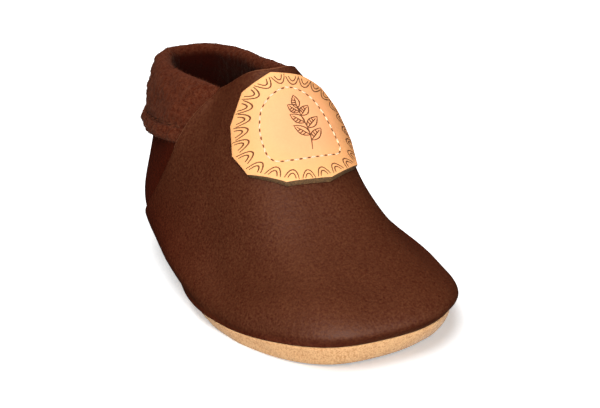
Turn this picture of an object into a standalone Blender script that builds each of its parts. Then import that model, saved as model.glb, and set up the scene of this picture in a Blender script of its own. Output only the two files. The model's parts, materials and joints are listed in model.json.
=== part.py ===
"""A soft-sole baby shoe for the right foot, standing empty on its sole.

A suede outsole carries a leather upper whose vamp laps over the heel quarter. A fleece cuff folds
over the collar, a felt insole lies inside and a stiff leather patch sits on the instep. Sizes are in
metres with +Z up. The toe points to -Y and the big toe's side is +X.
"""

import bisect
import collections
import math

import bmesh
import bpy
import numpy as np
from mathutils import Matrix, Vector

MM = 0.001

# Overall sizes of the last
LENGTH = 130 * MM
WIDTH = 75 * MM
HEIGHT = 61.8 * MM

# Faces of the leather, measured outward from the last
VAMP_FACE = 0.5 * MM
QUARTER_FACE = -0.5 * MM
LINING_FACE = -1.9 * MM

# Sole, insole and patch
SOLE_THICK = 2.0 * MM
SOLE_ROUND = 1.7 * MM
RIM_WIDTH = 2.3 * MM
WELL_INSET = 2.7 * MM
TOE_SPRING = 0.5 * MM
SPRING_FROM = 0.80
INSOLE_THICK = 2.0 * MM
INSOLE_INSET = 3.6 * MM
PATCH_THICK = 1.6 * MM
SEAM_GAP = 0.3 * MM

# Rings of the last from the sole seam at level 0 to the topline at level 1. Columns named "at" are
# shares of LENGTH from the heel, those named "up" are shares of HEIGHT, the others shares of WIDTH.
Ring = collections.namedtuple("Ring", "level heel_at heel_up front_at front_up side_up rear outer inner swing")
RINGS = (
    Ring(0.00, 0.046, 0.048, 0.992, 0.095, 0.049, 0.294, 0.446, 0.534, 0.067),
    Ring(0.14, 0.019, 0.092, 0.991, 0.164, 0.094, 0.338, 0.449, 0.534, 0.095),
    Ring(0.34, 0.003, 0.192, 0.852, 0.290, 0.180, 0.376, 0.409, 0.469, 0.085),
    Ring(0.58, 0.000, 0.378, 0.677, 0.534, 0.401, 0.325, 0.327, 0.391, 0.051),
    Ring(0.80, 0.008, 0.626, 0.548, 0.813, 0.701, 0.254, 0.238, 0.331, 0.049),
    Ring(1.00, 0.012, 0.868, 0.476, 0.997, 0.861, 0.217, 0.154, 0.205, 0.054),
)
LEVELS = [ring.level for ring in RINGS]

# How blunt the plan of a ring is at the heel, at the toe and at the throat
HEEL_BLUNT = 0.643
TOE_BLUNT = 0.718
THROAT_BLUNT = 0.833
# Share of a ring's length that runs level before it climbs to the instep, and the slopes of the climb
CLIMB_AT = 0.736
CLIMB_START = -0.041
CLIMB_END = 0.302

# Below this level the leather flares to the sole and its thickness lies level
FLARE_TOP = 0.38
# The step at the vamp's edge fades out below this level
STEP_FROM = 0.12

# The vamp's side edge, as turns round the ring from the heel
EDGE_FOOT = 0.677
EDGE_TOP = 2.187
EDGE_BEND = 1.194
EDGE_STEP = 0.006

# The quarter stops below the topline and the cuff folds over it
QUARTER_TOP = 0.955
WALL_CLIMB = 68 * MM
CUFF_END = 0.990
CUFF_PINCH = 0.35
CUFF_PINCH_SPAN = 0.14
Fold = collections.namedtuple("Fold", "out up")
CUFF_PROFILE = (
    Fold(2.1, -15.4),
    Fold(3.2, -14.9),
    Fold(3.5, -13.6),
    Fold(2.9, -12.1),
    Fold(3.0, -9.4),
    Fold(2.7, -5.6),
    Fold(2.2, -2.3),
    Fold(1.8, 0.0),
    Fold(0.9, 2.3),
    Fold(-1.2, 3.6),
    Fold(-3.3, 2.6),
    Fold(-4.3, 0.0),
    Fold(-4.5, -4.0),
    Fold(-4.3, -8.5),
    Fold(-4.0, -12.6),
    Fold(-3.2, -13.4),
    Fold(-2.2, -12.8),
    Fold(-2.2, -10.2),
    Fold(-2.2, -6.8),
    Fold(-2.2, -3.4),
    Fold(-2.2, 0.3),
    Fold(-0.2, 0.3),
    Fold(-0.2, -3.4),
    Fold(0.1, -6.8),
    Fold(0.6, -10.2),
    Fold(1.3, -14.8),
)

# The patch on the instep: its middle on the vamp and its corners
PATCH_TURN = 3.20
PATCH_LEVEL = 0.765
PATCH_FACET_STEPS = 4
Corner = collections.namedtuple("Corner", "angle radius")
PATCH_CORNERS = (
    Corner(102, 16.9),
    Corner(73, 15.3),
    Corner(45, 16.0),
    Corner(19, 16.6),
    Corner(-13, 17.8),
    Corner(-44, 20.0),
    Corner(-77, 18.5),
    Corner(-116, 19.0),
    Corner(-144, 19.0),
    Corner(-167, 17.0),
    Corner(161, 15.5),
    Corner(128, 16.6),
)

Look = collections.namedtuple("Look", "red green blue rough")
LOOKS = {
    "outsole": Look(0.770, 0.450, 0.212, 0.9),
    "insole": Look(0.030, 0.012, 0.008, 0.95),
    "upper": Look(0.102, 0.027, 0.012, 0.5),
    "cuff": Look(0.090, 0.025, 0.012, 0.95),
    "patch": Look(0.960, 0.565, 0.235, 0.6),
}


def spline_bends(knots, rows):
    """Second derivatives of the natural cubics through each column of rows."""
    gap = np.diff(knots)
    system = np.eye(len(knots))
    right = np.zeros_like(rows)
    for i in range(1, len(knots) - 1):
        system[i, i - 1:i + 2] = gap[i - 1], 2 * (gap[i - 1] + gap[i]), gap[i]
        right[i] = 6 * ((rows[i + 1] - rows[i]) / gap[i] - (rows[i] - rows[i - 1]) / gap[i - 1])
    return np.linalg.solve(system, right)


RING_ROWS = np.array(RINGS)
RING_BENDS = spline_bends(RING_ROWS[:, 0], RING_ROWS)


def ring_at(level):
    """The ring at a level, from the splines through the table."""
    i = min(max(bisect.bisect(LEVELS, level) - 1, 0), len(LEVELS) - 2)
    gap = LEVELS[i + 1] - LEVELS[i]
    b = (level - LEVELS[i]) / gap
    a = 1 - b
    bend = (a ** 3 - a) * RING_BENDS[i] + (b ** 3 - b) * RING_BENDS[i + 1]
    return Ring(*(a * RING_ROWS[i] + b * RING_ROWS[i + 1] + bend * gap * gap / 6))


def ease(x):
    x = min(max(x, 0.0), 1.0)
    return x * x * (3 - 2 * x)


def hermite(f, start, start_slope, end, end_slope):
    """A cubic from start to end with the given slopes, for f from 0 to 1."""
    return (
        start * (2 * f ** 3 - 3 * f ** 2 + 1)
        + start_slope * (f ** 3 - 2 * f ** 2 + f)
        + end * (3 * f ** 2 - 2 * f ** 3)
        + end_slope * (f ** 3 - f ** 2)
    )


def last_point(turn, level):
    """A point of the last. The turn runs from 0 at the heel by the outer side to pi at the front."""
    ring = ring_at(level)
    along = (1 - math.cos(turn)) / 2
    side = math.sin(turn)
    front_blunt = TOE_BLUNT + (THROAT_BLUNT - TOE_BLUNT) * level
    blunt = HEEL_BLUNT + (front_blunt - HEEL_BLUNT) * along
    fore = ring.outer if side >= 0 else ring.inner
    half = ring.rear + (fore - ring.rear) * ease((along - 0.2) / 0.5)
    x = -math.copysign(half * abs(side) ** blunt, side) + ring.swing * ease((along - 0.3) / 0.7)
    y = ring.heel_at + (ring.front_at - ring.heel_at) * along
    climb = ring.front_up - ring.side_up
    if along < CLIMB_AT:
        slope = CLIMB_START * climb * CLIMB_AT / (1 - CLIMB_AT)
        z = hermite(along / CLIMB_AT, ring.heel_up, 0.0, ring.side_up, slope)
    else:
        f = (along - CLIMB_AT) / (1 - CLIMB_AT)
        z = hermite(f, ring.side_up, CLIMB_START * climb, ring.front_up, CLIMB_END * climb)
    return Vector((x * WIDTH, -y * LENGTH, z * HEIGHT))


def last_normal(turn, level):
    """The outward direction of the last, turned level at the sole seam."""
    step = 0.002
    low = max(level, step)
    across = last_point(turn + step, low) - last_point(turn - step, low)
    up = last_point(turn, low + step) - last_point(turn, low - step)
    normal = across.cross(up)
    normal.z *= ease(level / FLARE_TOP)
    return normal.normalized()


def off_last(turn, level, out):
    return last_point(turn, level) + last_normal(turn, level) * out


def turn_at(column, level):
    """The turn of a column. Columns 1 and 3 follow the vamp's side edges and 2 is the toe."""
    edge = EDGE_FOOT + (EDGE_TOP - EDGE_FOOT) * level ** EDGE_BEND
    half = min(column, 4 - column)
    if half <= 1:
        turn = edge * half
    else:
        turn = edge + (math.pi - edge) * (half - 1)
    return turn if column <= 2 else 2 * math.pi - turn


def on_vamp(column):
    return 1 <= column <= 3


def spread(start, end, steps):
    return [start + (end - start) * i / steps for i in range(steps + 1)]


HEEL_COLUMNS = spread(0, 1 - EDGE_STEP, 12)
TOE_COLUMNS = spread(1, 3, 38)
COLUMNS = HEEL_COLUMNS + TOE_COLUMNS + [4 - column for column in reversed(HEEL_COLUMNS)]


def loft(name, columns, rows, place):
    """A closed solid from a grid whose vertices go where place(column, row) says."""
    mesh = bpy.data.meshes.new(name)
    bm = bmesh.new()
    wide, high = len(columns) - 1, len(rows) - 1
    bmesh.ops.create_grid(bm, x_segments=wide, y_segments=high, size=0.5)
    for vert in bm.verts:
        i = round((vert.co.x + 0.5) * wide)
        j = round((vert.co.y + 0.5) * high)
        vert.co = place(columns[i], rows[j])
    bmesh.ops.remove_doubles(bm, verts=bm.verts, dist=0.01 * MM)
    bmesh.ops.holes_fill(bm, edges=bm.edges, sides=0)
    bmesh.ops.triangulate(bm, faces=bm.faces)
    bmesh.ops.recalc_face_normals(bm, faces=bm.faces)
    bm.to_mesh(mesh)
    bm.free()
    mesh.shade_smooth()
    mesh.set_sharp_from_angle(angle=math.radians(40))
    mesh.materials.append(material(name))
    return bpy.data.objects.new(name, mesh)


def material(name):
    look = LOOKS[name]
    mat = bpy.data.materials.new(name)
    mat.use_nodes = True
    shader = mat.node_tree.nodes["Principled BSDF"]
    shader.inputs["Base Color"].default_value = (look.red, look.green, look.blue, 1.0)
    shader.inputs["Roughness"].default_value = look.rough
    return mat


def make_upper():
    """The hollow leather wall, open at the collar and underneath."""
    outside = [("outside", share) for share in spread(0, 1, 18)]
    inside = [("inside", share) for share in spread(1, 0, 18)]

    def place(column, row):
        side, share = row
        level = share * (1.0 if on_vamp(column) else QUARTER_TOP)
        face = VAMP_FACE if on_vamp(column) else QUARTER_FACE
        out = face * ease(level / STEP_FROM) if side == "outside" else LINING_FACE
        return off_last(turn_at(column, level), level, out)

    return loft("upper", COLUMNS, outside + inside + outside[:1], place)


def inset_point(column, inset):
    """A point level with the sole seam and inset from it."""
    turn = turn_at(column, 0.0)
    return off_last(turn, 0.0, -inset)


def spring_at(y):
    """How far the toe end of the sole lifts off the floor."""
    start = -SPRING_FROM * LENGTH
    return TOE_SPRING * max(0.0, (start - y) / (LENGTH + start)) ** 2


def sole_middle(column, inset):
    return (inset_point(column, inset) + inset_point(4 - column, inset)) / 2


def make_outsole():
    """The sole with a rounded edge and a rim that the upper stands on."""
    arc = [math.radians(angle) for angle in (90, 60, 30, 0)]
    edge = [(SOLE_ROUND * (1 - math.cos(angle)), "edge", 1 - math.sin(angle)) for angle in arc]
    rows = [(SOLE_ROUND, "bottom middle", 0.0)] + edge
    rows += [(RIM_WIDTH, "edge", 1.0), (WELL_INSET, "well", 0.0), (WELL_INSET, "well middle", 0.0)]

    def place(column, row):
        inset, kind, share = row
        point = sole_middle(column, inset) if "middle" in kind else inset_point(column, inset)
        floor = spring_at(point.y)
        if kind == "edge":
            rim = point.z - SEAM_GAP
            point.z = floor + (rim - floor) * share
        else:
            point.z = floor + (SOLE_THICK if "well" in kind else 0.0)
        return point

    return loft("outsole", COLUMNS, rows, place)


def make_insole():
    """The loose felt pad on the sole."""
    low = SOLE_THICK + SEAM_GAP
    rows = [("middle", low), ("edge", low), ("edge", low + INSOLE_THICK), ("middle", low + INSOLE_THICK)]

    def place(column, row):
        kind, up = row
        point = sole_middle(column, INSOLE_INSET) if kind == "middle" else inset_point(column, INSOLE_INSET)
        point.z = spring_at(point.y) + up
        return point

    return loft("insole", COLUMNS, rows, place)


def make_cuff():
    """The fleece strip folded over the collar, from one vamp edge round the heel to the other."""
    half = [column * CUFF_END / (1 - EDGE_STEP) for column in HEEL_COLUMNS]
    columns = [-column for column in reversed(half)] + half[1:]
    inner_back = LINING_FACE - SEAM_GAP
    outer_back = QUARTER_FACE + SEAM_GAP

    def place(column, fold):
        pinch = CUFF_PINCH + (1 - CUFF_PINCH) * ease((1 - abs(column)) / CUFF_PINCH_SPAN)
        out, up = fold.out * MM, fold.up * MM
        if out > outer_back:
            out = outer_back + (out - outer_back) * pinch
        elif out < inner_back:
            out = inner_back + (out - inner_back) * pinch
        level = QUARTER_TOP + min(up, 0.0) / WALL_CLIMB
        turn = turn_at(column % 4, level)
        point = off_last(turn, level, out)
        if up > 0:
            rise = last_point(turn, level) - last_point(turn, level - 0.01)
            point += rise.normalized() * up
        return point

    return loft("cuff", columns, CUFF_PROFILE + CUFF_PROFILE[:1], place)


def patch_axes():
    """The patch's middle and its directions across and along the instep."""
    middle = last_point(PATCH_TURN, PATCH_LEVEL)
    normal = last_normal(PATCH_TURN, PATCH_LEVEL)
    across = (Vector((1, 0, 0)) - normal * normal.x).normalized()
    return middle, across, normal.cross(across)


def vamp_spot(across_by, along_by):
    """The turn and level of the vamp's point that lies so far across and along the instep."""
    middle, across, along = patch_axes()
    turn, level, step = PATCH_TURN, PATCH_LEVEL, 0.001
    for _ in range(8):
        point = last_point(turn, level) - middle
        by_turn = last_point(turn + step, level) - middle - point
        by_level = last_point(turn, level + step) - middle - point
        grid = np.array([[by_turn @ across, by_level @ across], [by_turn @ along, by_level @ along]])
        miss = np.array([across_by - point @ across, along_by - point @ along])
        move = np.linalg.solve(grid, miss) * step
        turn += float(np.clip(move[0], -0.3, 0.3))
        level = min(level + float(np.clip(move[1], -0.15, 0.15)), 1.0)
    return turn, level


def make_patch():
    """The stiff leather patch that follows the instep, its outline cut in straight facets."""
    outline = []
    corners = [Vector((math.cos(math.radians(c.angle)), math.sin(math.radians(c.angle)))) * c.radius * MM
               for c in PATCH_CORNERS]
    for start, end in zip(corners, corners[1:] + corners[:1]):
        outline += [start.lerp(end, i / PATCH_FACET_STEPS) for i in range(PATCH_FACET_STEPS)]
    low = VAMP_FACE + SEAM_GAP
    high = low + PATCH_THICK
    rows = [(share, low) for share in spread(0, 1, 6)] + [(share, high) for share in spread(1, 0, 6)]

    def place(spot, row):
        share, out = row
        turn, level = vamp_spot(spot.x * share, spot.y * share)
        return off_last(turn, level, out)

    return loft("patch", outline + outline[:1], rows, place)


def clear_scene():
    for obj in list(bpy.data.objects):
        bpy.data.objects.remove(obj, do_unlink=True)


def main():
    clear_scene()
    shoe = bpy.data.collections.new("soft_sole_baby_shoe")
    bpy.context.scene.collection.children.link(shoe)
    pieces = [make_outsole(), make_insole(), make_upper(), make_cuff(), make_patch()]
    spots = np.array([vert.co for piece in pieces for vert in piece.data.vertices])
    middle = (spots.min(axis=0) + spots.max(axis=0)) / 2
    for piece in pieces:
        piece.data.transform(Matrix.Translation((-middle[0], -middle[1], 0.0)))
        shoe.objects.link(piece)


main()
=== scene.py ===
"""Dresses the soft-sole baby shoe: leather upper, suede sole, felt pad, fleece cuff and leather patch."""

import json
import math

import bmesh
import bpy
import numpy as np
from bpy.props import FloatProperty, FloatVectorProperty, IntProperty, PointerProperty
from mathutils import Matrix, Vector

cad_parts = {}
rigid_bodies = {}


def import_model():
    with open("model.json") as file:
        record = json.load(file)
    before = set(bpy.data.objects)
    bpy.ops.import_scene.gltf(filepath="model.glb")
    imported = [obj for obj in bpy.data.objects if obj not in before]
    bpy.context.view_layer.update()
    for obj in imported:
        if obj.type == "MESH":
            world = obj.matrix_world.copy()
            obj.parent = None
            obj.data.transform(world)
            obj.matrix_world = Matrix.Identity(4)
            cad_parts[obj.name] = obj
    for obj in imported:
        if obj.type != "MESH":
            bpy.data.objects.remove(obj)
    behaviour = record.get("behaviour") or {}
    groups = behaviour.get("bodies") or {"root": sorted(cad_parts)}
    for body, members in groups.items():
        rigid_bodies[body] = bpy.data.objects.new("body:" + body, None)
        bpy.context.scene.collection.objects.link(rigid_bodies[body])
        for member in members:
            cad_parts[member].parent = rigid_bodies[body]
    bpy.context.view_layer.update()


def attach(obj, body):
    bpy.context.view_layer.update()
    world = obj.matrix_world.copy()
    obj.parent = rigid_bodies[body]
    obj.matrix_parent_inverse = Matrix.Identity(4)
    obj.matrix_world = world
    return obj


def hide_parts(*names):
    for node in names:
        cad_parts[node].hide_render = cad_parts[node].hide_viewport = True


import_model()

bl_info = {
    "name": "Soft-sole baby shoe",
    "version": (1, 0, 0),
    "blender": (4, 5, 0),
    "location": "3D View > Sidebar > Baby shoe",
    "description": "Builds the visible pieces of a soft-sole baby shoe over its solid frame",
    "category": "Object",
}

MM = 0.001

# Middle of the frame in the last's own axes, which start at the back of the heel
LAST_MIDDLE = np.array((6.21837, -63.73788, 0.0)) * MM

# Rings of the last from the sole seam at level 0 to the topline at level 1. Columns named "at" are
# shares of the length from the heel, those named "up" are shares of the height, the others of the width.
RING_NAMES = (
    "level", "heel_at", "heel_up", "front_at", "front_up", "side_up", "rear", "outer", "inner", "swing",
)
RINGS = np.array((
    (0.00, 0.046, 0.048, 0.992, 0.095, 0.049, 0.294, 0.446, 0.534, 0.067),
    (0.14, 0.019, 0.092, 0.991, 0.164, 0.094, 0.338, 0.449, 0.534, 0.095),
    (0.34, 0.003, 0.192, 0.852, 0.290, 0.180, 0.376, 0.409, 0.469, 0.085),
    (0.58, 0.000, 0.378, 0.677, 0.534, 0.401, 0.325, 0.327, 0.391, 0.051),
    (0.80, 0.008, 0.626, 0.548, 0.813, 0.701, 0.254, 0.238, 0.331, 0.049),
    (1.00, 0.012, 0.868, 0.476, 0.997, 0.861, 0.217, 0.154, 0.205, 0.054),
))
# How blunt the plan of a ring is at the heel, at the toe and at the throat
HEEL_BLUNT, TOE_BLUNT, THROAT_BLUNT = 0.643, 0.718, 0.833
# Shares of a ring's length from which it widens, over which it widens, and from which it swings inward
WIDEN_FROM, WIDEN_OVER, SWING_FROM = 0.2, 0.5, 0.3
# Share of a ring's length that runs level before it climbs to the instep, and the slopes of the climb
CLIMB_AT, CLIMB_START, CLIMB_END = 0.736, -0.041, 0.302
# Below these levels the leather flares to the sole, the vamp's step fades and the folds fade
FLARE_TOP, STEP_FROM, SOFT_FROM = 0.38, 0.12, 0.10
# The vamp's side edge, as turns round the ring from the heel
EDGE_FOOT, EDGE_TOP, EDGE_BEND = 0.677, 2.187, 1.194
# Level of the quarter's top edge, and the way up the wall from the sole seam to the topline
QUARTER_TOP = 0.955
WALL_CLIMB = 68 * MM
# Share of the length from which the sole springs off the floor
SPRING_FROM = 0.80
# Middle of the patch on the last
PATCH_TURN, PATCH_LEVEL = 3.20, 0.765

# Soft forms of the vamp: width of its step in columns, drop of its cut edge, its lift over the cuff's
# ends above the hem, the fuller toe, slow waves, and gathers at the sole seam
STEP_WIDE = 0.006
EDGE_DROP = 0.18 * MM
CUFF_LIFT, HEM_LEVEL = 0.55 * MM, 0.68
TOE_FULL, TOE_COLUMN, TOE_LEVEL = 1.7 * MM, 1.74, 0.22
SLOW_WAVE, GATHER = 0.22 * MM, 0.12 * MM
# Lengths of those waves and gathers in millimetres, and level round which the gathers lie
SLOW_WAVE_LONG, GATHER_LONG, GATHER_LEVEL = 26, 6, 0.05
RIM_CROWN = 0.6 * MM
# Rows of the upper's mesh up its outer face, over its rim and down its lining
OUTER_ROWS, RIM_ROWS, LINING_ROWS = 97, 6, 49
# Columns between which the vamp's cut edge shows, and where that ends above the row at which it stands free
CUT_FROM, CUT_TO, FREE_CUT_TO, FREE_ROW = 0.9945, 0.9995, 1.009, 68
# Columns from which the vamp has no painted shade at its outer and inner side
OUTER_UNSHADED, INNER_UNSHADED = 1.55, 1.75

# Soft troughs and ridges in the leather: both ends as column and level, half width and depth in millimetres
FOLDS = (
    (1.42, 0.20, 1.56, 0.42, 7.0, 0.45),
    (1.30, 0.30, 1.40, 0.55, 5.0, 0.30),
    (1.55, 0.14, 1.70, 0.24, 5.0, -0.25),
    (2.30, 0.25, 2.42, 0.45, 6.0, 0.35),
    (1.72, 0.45, 2.25, 0.42, 6.0, 0.25),
    (1.06, 0.10, 1.22, 0.16, 4.0, 0.25),
    (1.18, 0.15, 1.50, 0.13, 7.0, 0.45),
    (2.80, 0.12, 2.92, 0.20, 4.0, 0.40),
    (0.45, 0.22, 0.85, 0.26, 4.0, 0.35),
    (3.15, 0.24, 3.55, 0.22, 4.0, 0.35),
)
# Share of a fold's depth that is left at its ends
FOLD_ENDS = 0.35

# Insets of the sole's rim and well from the seam, and the raggedness of its nappy edge with its length in
# millimetres
RIM_INSET, WELL_INSET = 2.3 * MM, 2.7 * MM
RAGGED, RAGGED_LONG = 0.10 * MM, 2.6
# Rounding of the sole's lower edge at columns round it, as a share of its usual size
SOLE_ROUNDING = (
    (0.0, 1.0), (1.15, 1.0), (1.30, 1.4), (1.40, 1.7), (1.47, 1.3), (1.54, 0.5), (1.62, 0.1), (1.75, 0.25),
    (1.9, 0.5), (2.0, 0.8), (2.1, 1.95), (2.2, 1.85), (2.35, 1.5), (2.6, 1.05), (4.0, 1.0),
)
# How far the sole is tucked under the leather at columns round it, in millimetres
SOLE_TUCK = (
    (0.0, 0.0), (1.05, 0.0), (1.2, 1.0), (1.33, 1.6), (1.45, 1.5), (1.54, 0.3), (1.6, 0.0), (4.0, 0.0),
)

# Section of the felt pad from below to above: share of the way to the middle, reach of its lip at the
# heel in millimetres, and share of its thickness
PAD_SECTION = (
    (1, 0, 0), (0.5, 0, 0), (0.08, 0, 0), (0, 0, 0.1), (0, 0.2, 0.35), (0, 1.4, 0.55), (0, 1.4, 0.8),
    (0.03, 0.9, 0.975), (0.08, 0.3, 1), (0.3, 0, 0.975), (0.6, 0, 0.95), (1, 0, 0.95),
)
PAD_INSET = 3.6 * MM

# Section of the folded cuff: out from the last and up from the quarter's top edge, in millimetres
CUFF_SECTION = (
    (2.1, -15.6), (3.0, -15.5), (3.6, -14.8), (3.7, -13.7), (3.3, -12.6), (2.3, -12.0), (2.9, -11.2),
    (3.2, -9.4), (2.9, -5.6), (2.4, -2.3), (1.9, 0.0), (0.9, 2.3), (-1.2, 3.6), (-3.3, 2.6), (-4.3, 0.0),
    (-4.5, -4.0), (-4.3, -8.5), (-4.0, -12.4), (-3.2, -13.4), (-2.3, -12.6), (-2.2, -8.5), (-2.2, -3.4),
    (-2.1, 0.2), (-1.2, 0.4), (-0.3, 0.2), (-0.2, -3.4), (0.2, -7.5), (0.7, -11.2), (1.3, -14.7),
)
# Columns at which the cuff and its tufts end, and share of its thickness that is left there, pinched
# over so many columns
CUFF_END, TUFTS_END = 0.991, 0.99
PINCH, PINCH_OVER = 0.24, 0.16
# Depth of the fold down to the middle of its hem
CUFF_DEEP = 14 * MM
# Heights of the fleece's tufts in millimetres: sharp, fine, broad and along the hem, and how far they sink
TUFT, FINE_TUFT, BROAD_TUFT, HEM_TUFT, TUFT_SINK = 0.30, 0.12, 0.34, 0.20, 0.12
# The cuff's sway round the heel, and the rise of its rim on the outer side
SWAY = 0.48 * MM
RIM_RISE, RIM_RISE_AT = 0.9 * MM, 0.3
# Stitches of the hem: their number, length, thickness and place in the section
HEM_STITCHES, HEM_STITCH, HEM_THREAD = 37, 2.0 * MM, 0.6 * MM
HEM_OUT, HEM_UP = 3.05 * MM, -12.0 * MM
# Fleece fibres: half width at the root, depth of the root, scatter of the roots, lean and bend
FIBRE_HALF, FIBRE_ROOT, FIBRE_SCATTER = 0.035 * MM, 0.2 * MM, 0.25 * MM
FIBRE_LEAN, FIBRE_BEND = 0.55, 0.35
# Shares of its length and bend that a fibre has reached at its middle row, and of its width left there
FIBRE_MIDDLE, MIDDLE_BEND, MIDDLE_WIDE = 0.55, 0.3, 0.7

# Corners of the patch round its middle, as degrees and millimetres
PATCH_CORNERS = np.array((
    (102, 16.9), (73, 15.3), (45, 16.0), (19, 16.6), (-13, 17.8), (-44, 20.0),
    (-77, 18.5), (-116, 19.0), (-144, 19.0), (-167, 17.0), (161, 15.5), (128, 16.6),
))
# Section of the patch's edge from below to above: share of the way out, millimetres added to its
# height, share of the thickness, and share of the slant
PATCH_EDGE = np.array((
    (0.99, 0.0, 0.0, 0.99), (0.998, 0.0, 0.0, 1.0), (1.0, 0.1, 0.0, 0.95), (1.0, 0.0, 0.5, 0.5),
    (1.0, -0.12, 1.0, 0.05), (0.998, -0.05, 1.0, 0.0), (0.992, -0.01, 1.0, 0.0), (0.98, 0.0, 1.0, 0.0),
))
# Rows of that section between which the cut edge shows
CUT_ROWS = (1, 5)
# Distances toward the toe from which the patch slants and lifts, and over which it does
SLANT_FROM, SLANT_OVER = 6 * MM, 8 * MM
LIFT_FROM, LIFT_OVER = 8 * MM, 9 * MM
# The line of stitches on the patch, across and along it in millimetres: a round arch with a flat foot
STITCH_LINE = (
    (-0.4, 11.2), (3.4, 9.5), (6.4, 6.2), (8.4, 1.2), (9.5, -4.2), (9.9, -8.4), (8.6, -10.6), (4.2, -11.0),
    (-0.4, -11.0), (-4.8, -10.9), (-8.6, -10.3), (-10.2, -8.2), (-10.4, -4.0), (-9.8, 1.0), (-8.0, 6.2),
    (-4.6, 9.9),
)
# Leaves of the burnt sprig: step of the stem, direction in degrees and length in millimetres
LEAVES = ((5, 42, 5.2), (8, 138, 5.2), (12, 40, 4.9), (15, 140, 4.7), (19, 46, 4.0), (21, 136, 3.8))
LEAF_WIDE, TOP_LEAF = 2.5, (4.2, 2.2)
# Burnt scallops of the border: their number, distance from the edge, and half width and height of each arch
SCALLOPS, SCALLOP_MARGIN = 24, 1.3
ARCHES = ((1.85, 2.6), (1.05, 1.5))
# Burnt lines and stitch holes lie this far over the patch's face, and stitches this far
ON_FACE, STITCH_RISE = 0.03 * MM, 0.10 * MM
# Dark discs stand for the stitch holes as painted shade: their half width and stretch along the line
HOLE, HOLE_STRETCH = 0.24 * MM, 2.3

# The leather's colour is multiplied by these in its pores and on the tops of its grain: partly the grain's
# own tone, partly painted shade in the pores and painted sheen on the tops
PORE_TINT, GRAIN_SHEEN_TINT = (0.58, 0.16, 0.02, 1.0), (1.42, 1.84, 1.98, 1.0)
WHITE = (1.0, 1.0, 1.0)

# Lamps: place, aim, width, watts, colour, what they light, and whether they leave a gleam
WARM = (1.0, 0.62, 0.40)
LAMPS = {
    "overhead_softbox": ((-0.25, 0.0, 1.20), (0.0, 0.0, 0.02), 1.3, 5.6, WARM, "shoe", True),
    "front_softbox": ((-0.30, -0.85, 0.36), (0.0, -0.02, 0.03), 1.0, 16.8, WHITE, "shoe", True),
    "rear_softbox": ((0.20, 0.95, 0.50), (0.0, 0.0, 0.03), 0.8, 8.0, WARM, "shoe", False),
    "inner_softbox": ((0.85, 0.55, 0.35), (0.0, 0.0, 0.03), 0.6, 2.0, WARM, "shoe", False),
    "sole_softbox_right": ((0.57, -0.42, 0.14), (0.0, -0.04, 0.0), 0.4, 2.0, WHITE, "sole", False),
    "sole_softbox_left": ((-0.66, 0.19, 0.14), (0.0, -0.04, 0.0), 0.4, 2.0, WHITE, "sole", False),
    "floor_softbox": ((-0.06, 0.27, 1.0), (0.0, 0.0, 0.0), 1.1, 14.0, WHITE, "floor", True),
}
ROOM_LIGHT = 0.025
FLOOR_HALF = 3.0

# The camera's place, its view and its right hand
CAMERA_AT = (-0.159856, -0.387856, 0.192339)
CAMERA_AIM = (0.361529, 0.851665, -0.379425)
CAMERA_RIGHT = (0.895341, -0.445389, 0.0)
CAMERA_LENS, CAMERA_SENSOR = 92.3, 36.0


def linear(code):
    """The linear colour of an sRGB hex code."""
    parts = [int(code[i:i + 2], 16) / 255 for i in (1, 3, 5)]
    return [c / 12.92 if c <= 0.04045 else ((c + 0.055) / 1.055) ** 2.4 for c in parts]


def size_prop(name, description, millimetres):
    """A length that the panel shows."""
    return FloatProperty(name=name, description=description, default=millimetres * MM,
                         unit="LENGTH", precision=4)


def colour_prop(name, description, code):
    """A colour that the panel shows."""
    return FloatVectorProperty(name=name, description=description, default=linear(code),
                               subtype="COLOR", min=0, max=1)


class ShoeSizes(bpy.types.PropertyGroup):
    """Sizes of the shoe's pieces"""

    length: size_prop("Length", "Heel to toe along the last", 130.0)
    width: size_prop("Width", "Width that the rings' side columns are shares of", 75.0)
    height: size_prop("Height", "Floor to the tip of the vamp", 61.8)
    vamp_face: size_prop("Vamp face", "Outer face of the vamp, out from the last", 0.5)
    quarter_face: size_prop("Quarter face", "Outer face of the heel quarter, out from the last", -0.5)
    lining_face: size_prop("Lining face", "Inner face of the wall, out from the last", -1.9)
    sole: size_prop("Sole", "Thickness of the suede sole inside its rim", 2.0)
    sole_round: size_prop("Sole edge", "Rounding of the sole's lower edge", 1.7)
    spring: size_prop("Toe spring", "Lift of the sole's toe end off the floor", 0.5)
    felt: size_prop("Felt", "Thickness of the felt pad", 2.0)
    patch: size_prop("Patch", "Thickness of the patch leather", 1.6)
    patch_slant: size_prop("Patch slant", "Slant of the patch's cut edge toward the toe", 0.75)
    patch_lift: size_prop("Patch lift", "Lift of the patch's toe side off the vamp", 0.35)
    gap: size_prop("Gap", "Gap between sewn pieces", 0.3)
    stitch: size_prop("Stitch", "Length of one running stitch on the patch", 1.55)
    stitch_pitch: size_prop("Stitch pitch", "From one running stitch to the next", 2.45)
    thread: size_prop("Thread", "Thickness of the sewing thread", 0.55)
    burn: size_prop("Burnt line", "Width of the lines burnt into the patch", 0.36)
    nap: size_prop("Nap", "Length of the fleece fibres", 0.55)
    nap_count: IntProperty(name="Nap count", description="Number of fleece fibres", default=26000, min=0)


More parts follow.
